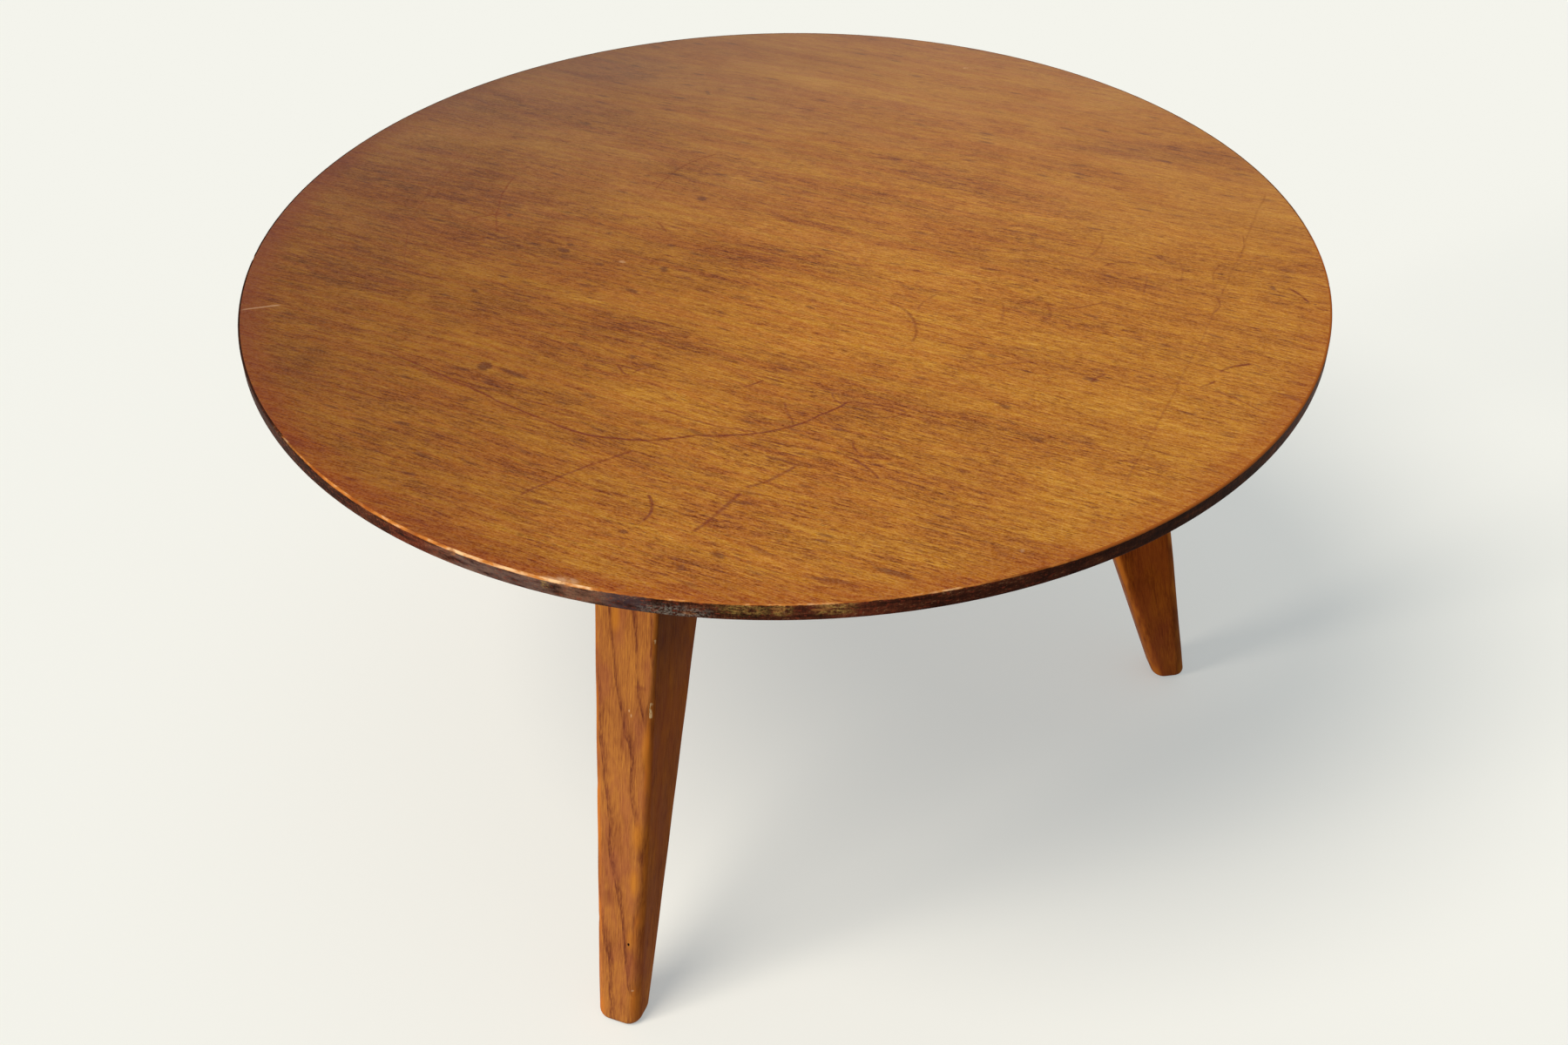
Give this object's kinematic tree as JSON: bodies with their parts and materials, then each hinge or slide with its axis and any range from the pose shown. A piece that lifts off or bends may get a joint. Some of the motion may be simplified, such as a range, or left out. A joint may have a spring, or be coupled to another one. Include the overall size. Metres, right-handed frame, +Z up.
{
  "type": "coffee table",
  "caption": "Low round wooden coffee table with a thin flat veneered top in a dark edge band, on splayed tapered legs joined by a hidden underframe.",
  "frame": {"origin": "on the floor, under the centre of the round top", "axes": "+Z up along the table's axis of three-fold symmetry, from the floor to the top; the front leg points along -Y, and the other two stand 120 degrees to each side of it"},
  "size_m": [0.8, 0.7999, 0.475],
  "materials": {
    "top_veneer": "warm orange-brown veneer under worn satin lacquer, with short dark pores",
    "plywood": "raw plywood, hidden inside the board",
    "underside_veneer": "plain backing veneer, thinly sealed",
    "dark_edge": "near-black stained strip, satin, its arris worn to pale wood at the front",
    "leg_wood": "oak stained orange-brown under satin lacquer",
    "frame_wood": "stained hardwood, thinly sealed",
    "dowel_wood": "bare beech",
    "screw_steel": "zinc-plated steel, dulled with age"
  },
  "bodies": {
    "root": {"top_face_veneer": "top_veneer", "upper_crossband": "plywood", "core_ply": "plywood", "lower_crossband": "plywood", "underside_veneer": "underside_veneer", "edge_band": "dark_edge", "leg_front": "leg_wood", "leg_back_right": "leg_wood", "leg_back_left": "leg_wood", "rail_front": "frame_wood", "rail_back_right": "frame_wood", "rail_back_left": "frame_wood", "centre_block": "frame_wood", "leg_dowel_front_upper": "dowel_wood", "leg_dowel_front_lower": "dowel_wood", "leg_dowel_back_right_upper": "dowel_wood", "leg_dowel_back_right_lower": "dowel_wood", "leg_dowel_back_left_upper": "dowel_wood", "leg_dowel_back_left_lower": "dowel_wood", "block_dowel_front_upper": "dowel_wood", "block_dowel_front_lower": "dowel_wood", "block_dowel_back_right_upper": "dowel_wood", "block_dowel_back_right_lower": "dowel_wood", "block_dowel_back_left_upper": "dowel_wood", "block_dowel_back_left_lower": "dowel_wood", "rail_screws": "screw_steel", "block_screw": "screw_steel"}
  },
  "joints": []
}
